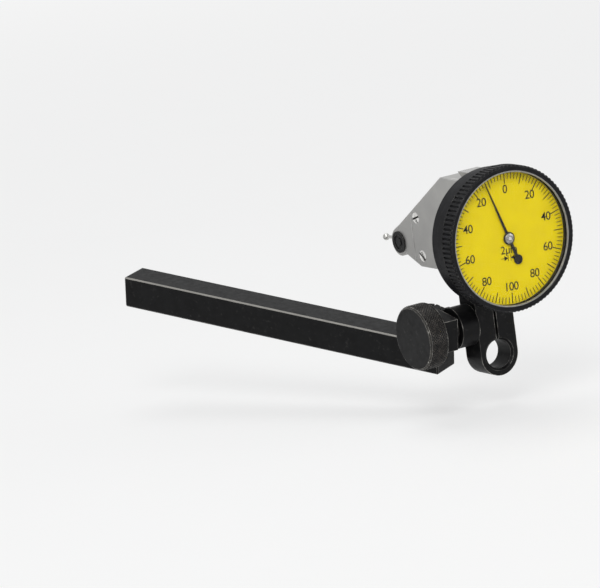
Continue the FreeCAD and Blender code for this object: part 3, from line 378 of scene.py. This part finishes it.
# each steel has its own roughness and the direction of its tool lines
groundSteel = makeGroundSteel("groundSteel", 0.24, (1, 0.06, 1))
screwBright = makeScrewSteel()
domeSteel = makeGroundSteel("polishedHubSteel", 0.1, (1, 1, 1), "#56534e")
ringSteel = makeGroundSteel("spunRingSteel", 0.34, (1, 1, 1), "#66655f")
turnedSteel = makeGroundSteel("turnedSteel", 0.2, (0.06, 1, 1))
springSteel = makeGroundSteel("rolledSpringSteel", 0.34, (1, 1, 0.1))
carbide = makeGroundSteel("polishedCarbide", 0.1, (1, 1, 1))
brass = makeBrass()
ruby = makeRuby()
dialPaint = makeDialPaint()
dialInk = makeBlackInk("blackDialInk", 0.5)
handPaint = makeBlackInk("blackHandPaint", 0.36)
crystalClear = makeCrystal()
nitrile = makeRubber()
print("materials made")

finishOf = {
    barOxide: ["holding_bar"],
    blackOxide: ["swivel_link", "clamp_block", "knurled_knob"],
    blackAnodised: ["bezel", "dial_case"],
    blackScrew: ["left_pivot_screw", "right_pivot_screw", "yaw_pivot_screw"],
    screwBright: ["left_cover_screws", "right_cover_screws"],
    ringSteel: ["retaining_ring"],
    satinChrome: ["body_frame", "left_cover", "right_cover"],
    groundSteel: ["upper_dovetail", "lower_dovetail"],
    turnedSteel: ["clamp_screw", "plate_screws", "case_screws", "crown_arbor", "sector_arbor",
                  "centre_arbor", "lever_shaft", "plate_pillars", "stylus_hub", "stylus_shank",
                  "hand_boss"],
    springSteel: ["yaw_washer", "swivel_washer", "clutch_washer", "bezel_snap_ring", "hairspring"],
    brass: ["left_plate", "right_plate", "centre_bridge", "crown_wheel", "sector_gear",
            "measuring_lever", "hairspring_collet", "hairspring_stud"],
    ruby: ["jewel_bearings"],
    carbide: ["contact_ball"],
    dialPaint: ["dial_plate"],
    handPaint: ["hand"],
    crystalClear: ["crystal"],
    nitrile: ["crystal_gasket"],
}
for material, nodeNames in finishOf.items():
    for nodeName in nodeNames:
        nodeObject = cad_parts[nodeName]
        nodeObject.data.materials.clear()
        nodeObject.data.materials.append(material)
print("CAD nodes finished")


def deselectAll():
    bpy.ops.object.select_all(action="DESELECT")


def activate(piece):
    deselectAll()
    piece.select_set(True)
    bpy.context.view_layer.objects.active = piece


def selectFaces(piece, test):  # in edit mode: select the faces that pass the test
    bpy.ops.object.mode_set(mode="OBJECT")
    for vertex in piece.data.vertices:
        vertex.select = False
    for edge in piece.data.edges:
        edge.select = False
    for face in piece.data.polygons:
        face.select = test(face)
    bpy.ops.object.mode_set(mode="EDIT")


def drawOut(rise, shrink):  # the selected face is extruded by rise mm along z and scaled by shrink
    bpy.ops.mesh.extrude_region_move(TRANSFORM_OT_translate={"value": (0, 0, rise * mm)})
    bpy.ops.transform.resize(value=(shrink, shrink, 1))


def joinPieces(pieces, name):
    deselectAll()
    for piece in pieces:
        piece.select_set(True)
    bpy.context.view_layer.objects.active = pieces[0]
    bpy.ops.object.join()
    whole = bpy.context.object
    whole.name = name
    whole.data.name = name
    return whole


def settle(piece):  # the object's place goes into its mesh
    activate(piece)
    bpy.ops.object.transform_apply(location=True, rotation=True, scale=True)


dialSizes = {
    "centre": (0.0, -15.1, 33.6), "outerRadius": 17.8, "shortTick": 1.75, "longTick": 2.9,
    "shortWidth": 0.21, "longWidth": 0.28, "ticks": 100, "longEvery": 5,
    "inkThick": 0.02, "inkSpread": 0.025, "lift": 0.004, "letterSteps": 4, "letterSpacing": 0.94,
    "numeralRadius": 13.3, "numeralHeight": 3.3, "numeralEvery": 10, "numeralStep": 20,
    "unitPlace": (0.0, -3.2), "unitHeight": 3.1, "markUp": -5.35, "zeroTurn": 3.8,
    "arrowGap": 0.45, "arrowStop": 1.7, "arrowShaft": 1.6, "arrowLine": 0.2, "arrowHead": 0.82,
}


def addTick(angle, inner, outer, width):  # a thin bar of ink, angle clockwise from the top
    middle = (inner + outer) / 2
    tick = addBar((middle * math.sin(angle), middle * math.cos(angle)), width, outer - inner)
    tick.rotation_euler = (0, 0, -angle)
    return tick


def addText(words, place, height):
    size = dialSizes
    deselectAll()
    bpy.ops.object.text_add(location=(place[0] * mm, place[1] * mm, 0))
    text = bpy.context.object
    text.data.body = words
    text.data.size = height * mm
    text.data.align_x = "CENTER"
    text.data.align_y = "CENTER"
    text.data.extrude = size["inkThick"] * mm / 2
    text.data.resolution_u = size["letterSteps"]
    text.data.space_character = size["letterSpacing"]
    text.data.offset = size["inkSpread"] * mm
    bpy.ops.object.convert(target="MESH")
    return bpy.context.object


def addBar(place, width, height):
    deselectAll()
    bpy.ops.mesh.primitive_cube_add(size=1, location=(place[0] * mm, place[1] * mm, 0))
    bar = bpy.context.object
    bar.scale = (width * mm, height * mm, dialSizes["inkThick"] * mm)
    return bar


def addArrow(side):  # one arrow and its stop line, pointing at the middle
    size = dialSizes
    upward = size["markUp"]
    line, gap, head, shaft = [size[key] for key in ("arrowLine", "arrowGap", "arrowHead", "arrowShaft")]
    headAt = gap + head
    pieces = [addBar((side * gap, upward), line, size["arrowStop"]),
              addBar((side * (headAt + shaft / 2), upward), shaft, line)]
    deselectAll()
    bpy.ops.mesh.primitive_cylinder_add(vertices=3, radius=head * mm, depth=size["inkThick"] * mm,
                                        location=(side * headAt * mm, upward * mm, 0),
                                        rotation=(0, 0, math.radians(90 * side)))
    pieces.append(bpy.context.object)
    return pieces


def makeDialPrint():
    size = dialSizes
    pieces = []
    outer, spotRadius = size["outerRadius"], size["numeralRadius"]
    for number in range(size["ticks"]):
        angle = number * 2 * math.pi / size["ticks"]
        isLong = number % size["longEvery"] == 0
        length = size["longTick"] if isLong else size["shortTick"]
        width = size["longWidth"] if isLong else size["shortWidth"]
        pieces.append(addTick(angle, outer - length, outer, width))
    numerals = size["ticks"] // size["numeralEvery"]
    for step in range(numerals):
        angle = step * 2 * math.pi / numerals
        reading = min(step, numerals - step) * size["numeralStep"]  # up to 100 on both sides of 0
        spot = (spotRadius * math.sin(angle), spotRadius * math.cos(angle))
        pieces.append(addText(str(reading), spot, size["numeralHeight"]))
    pieces.append(addText("2µm", size["unitPlace"], size["unitHeight"]))
    for side in (-1, 1):
        pieces += addArrow(side)
    marks = joinPieces(pieces, "dialPrint")
    settle(marks)
    marks.rotation_euler = (math.radians(90), math.radians(size["zeroTurn"]), 0)
    across, front, upward = size["centre"]
    lift = size["inkThick"] / 2 + size["lift"]
    marks.location = (across * mm, (front - lift) * mm, upward * mm)
    settle(marks)
    marks.data.materials.clear()
    marks.data.materials.append(dialInk)
    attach(marks, "bezel")


makeDialPrint()
print("dial printed")


hubSizes = {
    "centre": (0.0, -15.65, 33.6), "radius": 1.42, "height": 0.4, "rimHeight": 0.12, "sides": 40,
    "rings": 6, "capAngle": 62, "lip": 0.07, "dimple": 0.16, "dimpleTaper": 0.75, "smoothAngle": 35,
}


def makeHubDome():  # the polished cap that covers the end of the centre arbor
    size = hubSizes
    deselectAll()
    bpy.ops.mesh.primitive_cylinder_add(vertices=size["sides"], radius=size["radius"] * mm,
                                        depth=size["rimHeight"] * mm, end_fill_type="NGON",
                                        location=(0, 0, 0))
    dome = bpy.context.object
    bpy.ops.object.mode_set(mode="EDIT")
    bpy.ops.mesh.select_mode(type="FACE")
    selectFaces(dome, lambda face: face.normal.z > endFacing)
    rise = size["height"] - size["rimHeight"]
    for number in range(size["rings"]):
        low = math.radians(size["capAngle"] * number / size["rings"])
        high = math.radians(size["capAngle"] * (number + 1) / size["rings"])
        drawOut(rise * (math.sin(high) - math.sin(low)), math.cos(high) / math.cos(low))
    # the dimple in which the arbor's end is riveted
    bpy.ops.mesh.inset(thickness=size["lip"] * mm)
    drawOut(-size["dimple"], size["dimpleTaper"])
    bpy.ops.object.mode_set(mode="OBJECT")
    bpy.ops.object.shade_smooth_by_angle(angle=math.radians(size["smoothAngle"]))
    dome.rotation_euler = (math.radians(90), 0, 0)
    across, front, upward = size["centre"]
    dome.location = (across * mm, (front - size["rimHeight"] / 2) * mm, upward * mm)
    settle(dome)
    dome.name = "handHubDome"
    dome.data.materials.append(domeSteel)
    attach(dome, "hand")
    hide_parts("hand_boss")


makeHubDome()
print("hub capped")


coverScrewSizes = {
    "spots": ((22.6, 36.8, 18), (21.4, 26.1, -34)),  # along, up, and the slot's turn in degrees
    "underHead": 4.45, "radius": 1.62, "height": 0.52, "sides": 32, "smoothAngle": 40,
    "crown": ((0.08, 0.93), (0.06, 0.8)),  # rise and shrink of each step of the head's rounded top
    "shankRadius": 0.85, "shankLength": 3.3, "slotWidth": 0.5, "slotFloor": 0.28, "sawHeight": 1.0,
}


def makeScrewHead():  # one slotted screw, standing on its shank at the middle of the scene
    size = coverScrewSizes
    radius, height, sawHeight = size["radius"], size["height"], size["sawHeight"]
    deselectAll()
    bpy.ops.mesh.primitive_cylinder_add(vertices=size["sides"], radius=radius * mm, depth=height * mm,
                                        end_fill_type="NGON", location=(0, 0, height / 2 * mm))
    screw = bpy.context.object
    settle(screw)
    bpy.ops.object.mode_set(mode="EDIT")
    bpy.ops.mesh.select_mode(type="FACE")
    selectFaces(screw, lambda face: face.normal.z > endFacing)
    for rise, shrink in size["crown"]:
        drawOut(rise, shrink)
    selectFaces(screw, lambda face: face.normal.z < -endFacing)
    bpy.ops.mesh.inset(thickness=(radius - size["shankRadius"]) * mm)
    drawOut(-size["shankLength"], 1)
    bpy.ops.object.mode_set(mode="OBJECT")
    # the slot is sawn straight across
    deselectAll()
    sawMiddle = size["slotFloor"] + sawHeight / 2
    bpy.ops.mesh.primitive_cube_add(size=1, location=(0, 0, sawMiddle * mm))
    saw = bpy.context.object
    saw.scale = (size["slotWidth"] * mm, 3 * radius * mm, sawHeight * mm)
    activate(screw)
    bpy.ops.object.modifier_add(type="BOOLEAN")
    cut = screw.modifiers[-1]
    cut.operation = "DIFFERENCE"
    cut.object = saw
    bpy.ops.object.modifier_apply(modifier=cut.name)
    activate(saw)
    bpy.ops.object.delete()
    activate(screw)
    bpy.ops.object.shade_smooth_by_angle(angle=math.radians(size["smoothAngle"]))
    return screw


def makeCoverScrews():
    size = coverScrewSizes
    for side, label in ((-1, "left"), (1, "right")):
        screws = []
        for along, upward, turn in size["spots"]:
            screw = makeScrewHead()
            screw.rotation_euler = (0, 0, math.radians(turn))
            settle(screw)
            screw.rotation_euler = (0, side * math.radians(90), 0)
            screw.location = (side * size["underHead"] * mm, along * mm, upward * mm)
            settle(screw)
            screws.append(screw)
        pair = joinPieces(screws, label + "CoverScrewPair")
        pair.data.materials.append(screwBright)
        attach(pair, "gauge")
        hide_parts(label + "_cover_screws")


makeCoverScrews()
print("cover screws slotted")


knobSizes = {
    "left": -24.6, "right": -18.6, "gripLeft": -24.1, "gripRight": -19.1, "height": 9.4, "radius": 9.1,
    "around": 64, "rows": 6, "tooth": 0.24, "chamfer": 0.45,
    "rimSlope": 0.95,  # a plain end faces at least this much along the axis
    "sideSlope": 0.1,  # the grip faces at most this much along the axis
    "levelRoom": 0.0001, "cornerRoom": 0.001,  # mm, within which two heights or two radii are the same
}


def makeKnob():
    size = knobSizes
    chamfer, levelRoom = size["chamfer"], size["levelRoom"] * mm
    gripWidth = size["gripRight"] - size["gripLeft"]
    gripRadius = size["radius"] - size["tooth"]
    half = gripWidth / 2 * mm
    deselectAll()
    bpy.ops.mesh.primitive_cylinder_add(vertices=size["around"], radius=gripRadius * mm,
                                        depth=gripWidth * mm, end_fill_type="NGON", location=(0, 0, 0))
    knob = bpy.context.object
    bpy.ops.object.mode_set(mode="EDIT")
    bpy.ops.mesh.select_mode(type="FACE")
    # the end faces are drawn out to the knob's full width, then chamfered
    leftReach = size["gripLeft"] - size["left"]
    rightReach = size["right"] - size["gripRight"]
    for end, reach in ((-1, leftReach), (1, rightReach)):
        selectFaces(knob, lambda face: face.normal.z * end > endFacing)
        drawOut(end * (reach - chamfer), 1)
        drawOut(end * chamfer, (gripRadius - chamfer) / gripRadius)
    # the knurl: the side is cut into rows, its squares are split into diamonds and each is raised
    for row in range(1, size["rows"]):
        bpy.ops.mesh.select_all(action="SELECT")
        level = -half + row * 2 * half / size["rows"]
        bpy.ops.mesh.bisect(plane_co=(0, 0, level), plane_no=(0, 0, 1))

    def onGrip(face):
        return abs(face.center.z) < half and abs(face.normal.z) < size["sideSlope"]

    selectFaces(knob, onGrip)
    bpy.ops.mesh.poke()
    corner = (gripRadius - size["cornerRoom"]) * mm

    def isGrid(edge):  # the first squares' own edges, which run straight or round, inside the grip
        ends = [knob.data.vertices[index].co for index in edge.vertices]
        if any(math.hypot(end.x, end.y) < corner for end in ends):
            return False
        inside = all(abs(end.z) < half + levelRoom for end in ends)
        onRim = all(abs(abs(end.z) - half) < levelRoom for end in ends)
        return inside and not onRim

    bpy.ops.mesh.select_mode(type="EDGE")
    bpy.ops.mesh.select_all(action="DESELECT")
    bpy.ops.object.mode_set(mode="OBJECT")
    for edge in knob.data.edges:
        edge.select = isGrid(edge)
    bpy.ops.object.mode_set(mode="EDIT")
    bpy.ops.mesh.dissolve_edges(use_verts=False)
    bpy.ops.mesh.select_mode(type="FACE")
    selectFaces(knob, lambda face: onGrip(face) and len(face.vertices) == 4)
    bpy.ops.mesh.poke(offset=size["tooth"] * mm)
    bpy.ops.mesh.select_all(action="SELECT")
    bpy.ops.mesh.normals_make_consistent(inside=False)
    bpy.ops.object.mode_set(mode="OBJECT")
    knurlSlot, endSlot, rimSlot = 0, 1, 2
    for finish in (blackKnurl, blackOxide, rubbedAndHighlitRim):
        knob.data.materials.append(finish)
    for face in knob.data.polygons:
        if abs(face.center.z) <= half:
            face.material_index = knurlSlot
        elif abs(face.normal.z) > size["rimSlope"]:
            face.material_index = endSlot
        else:
            face.material_index = rimSlot  # the chamfers that fingers have rubbed, painted lighter all round: wear and a painted highlight
    knob.rotation_euler = (0, math.radians(90), 0)
    middle = (size["gripLeft"] + size["gripRight"]) / 2
    knob.location = (middle * mm, 0, size["height"] * mm)
    settle(knob)
    knob.name = "knurledKnob"
    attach(knob, "knob")
    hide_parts("knurled_knob")


makeKnob()
print("knob knurled")


cameraSizes = {
    "place": (-574.3, -904.2, 243.4), "look": (0.486, 0.8505, -0.2013), "roll": -7.86,
    "focalPixels": 4000, "imageWidth": 600, "sensor": 36.0, "nearest": 0.05, "farthest": 20,
}


def makeCamera():
    size = cameraSizes
    deselectAll()
    bpy.ops.object.camera_add(location=[number * mm for number in size["place"]])
    camera = bpy.context.object
    camera.data.sensor_width = size["sensor"]
    camera.data.lens = size["focalPixels"] * size["sensor"] / size["imageWidth"]
    camera.data.clip_start = size["nearest"]
    camera.data.clip_end = size["farthest"]
    facing = Vector(size["look"]).to_track_quat("-Z", "Y")
    rolled = facing @ Quaternion((0, 0, 1), math.radians(size["roll"]))
    camera.rotation_mode = "QUATERNION"
    camera.rotation_quaternion = rolled
    bpy.context.scene.camera = camera


makeCamera()

stageSizes = {
    "floorSize": 12.0, "floorGap": 9.0, "pale": "#f4f4f3", "dust": "#f1f1f0", "dustCloud": 40.0,
    "roughness": 0.8, "mirrorShare": 0.55,
    "glowShare": 0.6, "glowStart": 0.35, "glowEnd": 1.6,  # metres from the middle of the floor
    "sky": "#e9ebee", "skyStrength": 0.38,
}


def seenRays(tree):  # 1 for what the camera sees straight on, through the crystal or mirrored in metal
    path = addNode(tree, "ShaderNodeLightPath").outputs
    clear = addNode(tree, "ShaderNodeMath", {0: path["Is Camera Ray"], 1: path["Is Transmission Ray"]},
                    operation="MAXIMUM")
    mirrored = addNode(tree, "ShaderNodeMath", {0: path["Is Glossy Ray"], 1: stageSizes["mirrorShare"]},
                       operation="MULTIPLY")
    seen = addNode(tree, "ShaderNodeMath", {0: clear.outputs[0], 1: mirrored.outputs[0]},
                   operation="MAXIMUM")
    return seen.outputs[0]


def makeFloor():
    size = stageSizes
    deselectAll()
    level = cadBox[0][2] - size["floorGap"] * mm
    bpy.ops.mesh.primitive_plane_add(size=size["floorSize"], location=(0, 0, level))
    floor = bpy.context.object
    floor.name = "floor"
    material, tree = emptyMaterial("paleStudioFloor")
    pale, dust = linearColour(size["pale"]), linearColour(size["dust"])
    cloud = grain(tree, size["dustCloud"])
    shade = addNode(tree, "ShaderNodeMix", {0: cloud, 6: pale, 7: dust}, data_type="RGBA")
    lit = addNode(tree, "ShaderNodeBsdfPrincipled", {"Base Color": shade.outputs[2],
                                                     "Roughness": size["roughness"]})
    glow = addNode(tree, "ShaderNodeEmission", {"Color": white, "Strength": 1.0})
    # the glow grows with distance, so that the floor meets the background with no horizon
    place = addNode(tree, "ShaderNodeTexCoord").outputs["Object"]
    away = addNode(tree, "ShaderNodeVectorMath", {0: place}, operation="LENGTH")
    glowing = addNode(tree, "ShaderNodeMapRange", {0: away.outputs["Value"], 1: size["glowStart"],
                                                   2: size["glowEnd"], 3: size["glowShare"], 4: 1.0})
    share = addNode(tree, "ShaderNodeMath", {0: seenRays(tree), 1: glowing.outputs[0]},
                    operation="MULTIPLY")
    both = addNode(tree, "ShaderNodeMixShader", {0: share.outputs[0], 1: lit.outputs[0],
                                                 2: glow.outputs[0]})
    finishMaterial(tree, both)
    floor.data.materials.append(material)


def makeSky():  # a plain soft light from all round, which the camera sees as white
    size = stageSizes
    world = bpy.data.worlds.new("softStudio")
    bpy.context.scene.world = world
    world.use_nodes = True
    tree = world.node_tree
    tree.nodes.clear()
    soft = addNode(tree, "ShaderNodeBackground", {"Color": linearColour(size["sky"]),
                                                  "Strength": size["skyStrength"]})
    plain = addNode(tree, "ShaderNodeBackground", {"Color": white, "Strength": 1.0})
    both = addNode(tree, "ShaderNodeMixShader", {0: seenRays(tree), 1: soft.outputs[0],
                                                 2: plain.outputs[0]})
    addNode(tree, "ShaderNodeOutputWorld", {"Surface": both.outputs[0]})


lampAim = (0, 0.01, 0.025)
lampSizes = {
    "key": {"place": (-0.50, -0.55, 0.75), "size": 0.45, "watts": 4.2},
    "fill": {"place": (0.70, -0.60, 0.35), "size": 0.70, "watts": 1.7},
    "top": {"place": (0.05, 0.30, 0.95), "size": 0.60, "watts": 3.0},
}


def makeLamps():
    for name, size in lampSizes.items():
        deselectAll()
        bpy.ops.object.light_add(type="AREA", location=size["place"])
        lamp = bpy.context.object
        lamp.name = name + "Lamp"
        lamp.data.size = size["size"]
        lamp.data.energy = size["watts"]
        aim = Vector(lampAim) - Vector(size["place"])
        lamp.rotation_mode = "QUATERNION"
        lamp.rotation_quaternion = aim.to_track_quat("-Z", "Y")


makeFloor()
makeSky()
makeLamps()
bpy.context.scene.view_settings.view_transform = "Standard"
print("stage lit")
